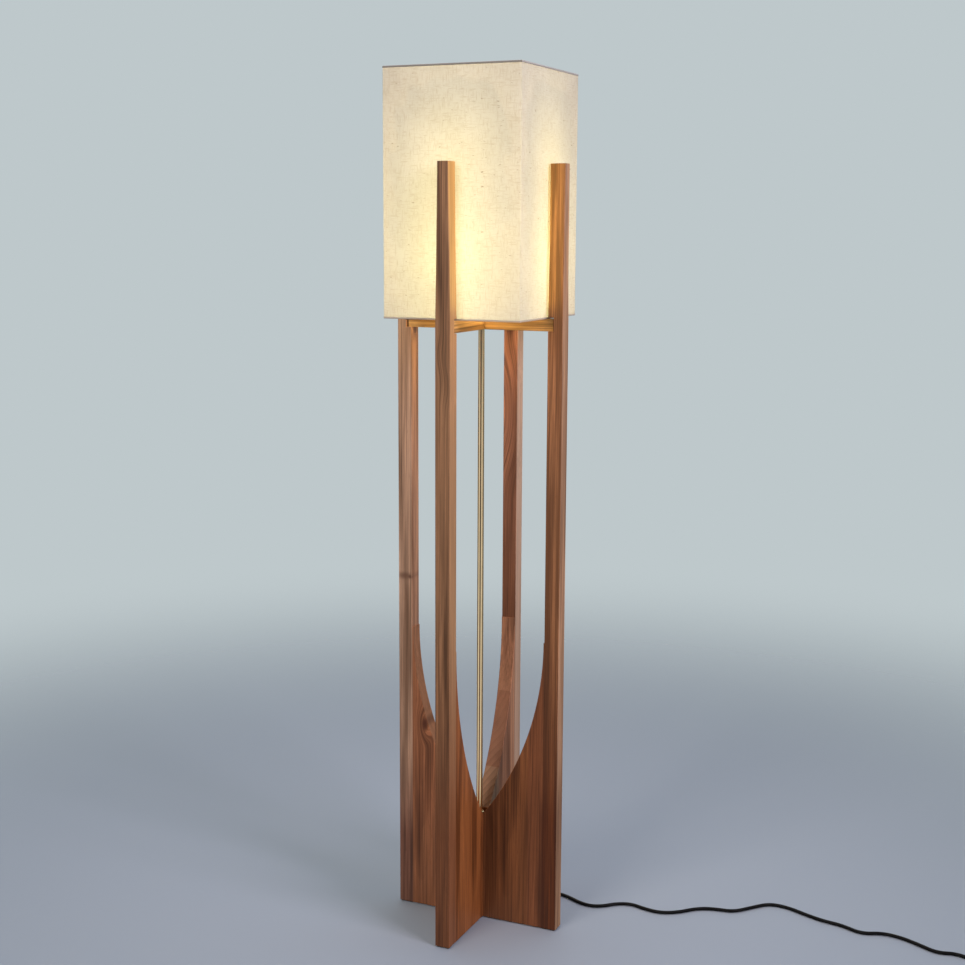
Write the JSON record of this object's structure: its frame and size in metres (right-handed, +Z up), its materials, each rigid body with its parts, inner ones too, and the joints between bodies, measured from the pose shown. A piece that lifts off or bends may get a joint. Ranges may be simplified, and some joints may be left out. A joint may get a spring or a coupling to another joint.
{
  "type": "floor lamp",
  "caption": "Wooden floor lamp: tapered posts on crossed arched base boards, a brass tube on the axis, and a square linen shade resting on a crossed brace.",
  "frame": {"origin": "middle of the footprint on the floor, on the axis of the brass tube", "axes": "+Z up, -Y towards the front leg, +X towards the right leg"},
  "size_m": [1.1142, 0.407, 1.45],
  "materials": {
    "walnut": "oiled satin, straight upright grain",
    "felt": "dense felt",
    "brass": "polished",
    "steel": "zinc plated",
    "holder_brass": "dull spun brass",
    "fibre": "matt pressed fibre",
    "phenolic": "moulded, satin",
    "opal_glass": "opal, lit warm white",
    "bulb_metal": "rolled thread",
    "bulb_insulator": "black glass",
    "linen": "natural slubbed linen",
    "shade_backing": "translucent styrene",
    "hem_tape": "woven tape",
    "ring_wire": "white coated wire",
    "lead_sheath": "round black sheath, satin",
    "core_sheath": "insulated cores",
    "moulded_black": "moulded black, satin",
    "tie": "soft band",
    "blade_brass": "plain"
  },
  "bodies": {
    "lamp_frame": {"post_front": "walnut", "post_right": "walnut", "post_back": "walnut", "post_left": "walnut", "base_board_left_right": "walnut", "base_board_front_back": "walnut", "brace_bar_left_right": "walnut", "brace_bar_front_back": "walnut", "felt_pad_front": "felt", "felt_pad_right": "felt", "felt_pad_back": "felt", "felt_pad_left": "felt", "centre_tube": "brass", "tube_ferrule": "brass", "tube_washer": "steel", "tube_lock_nut": "steel", "terminal_screws": "steel", "holder_cap": "holder_brass", "holder_shell": "holder_brass", "centre_contact": "holder_brass", "screw_shell": "holder_brass", "holder_sleeve": "fibre", "switch_block": "phenolic", "inner_lead": "lead_sheath", "cord": "lead_sheath", "cord_coil": "lead_sheath", "holder_leads": "core_sheath", "cord_bushing": "moulded_black", "plug_body": "moulded_black", "coil_tie": "tie", "plug_blades": "blade_brass"},
    "shade": {"shade_fabric": "linen", "shade_liner": "shade_backing", "shade_top_trim": "hem_tape", "shade_bottom_trim": "hem_tape", "shade_top_ring": "ring_wire", "shade_bottom_ring": "ring_wire"},
    "bulb": {"bulb_glass": "opal_glass", "bulb_base_shell": "bulb_metal", "bulb_base_insulator": "bulb_insulator", "bulb_tip_contact": "bulb_metal"},
    "knob": {"switch_spindle": "steel", "switch_knob": "phenolic"}
  },
  "joints": [
    {"name": "shade_lift", "type": "slide", "parent": "lamp_frame", "child": "shade", "axis": [0, 0, 1], "range_m": [0, 0.26]},
    {"name": "bulb_unscrew", "type": "hinge", "parent": "lamp_frame", "child": "bulb", "pos_m": [0, 0, 1.11], "axis": [0, 0, 1], "range_deg": [0, 1080]},
    {"name": "switch_turn", "type": "hinge", "parent": "lamp_frame", "child": "knob", "pos_m": [0, 0.02, 1.087], "axis": [0, 1, 0], "continuous": true}
  ]
}
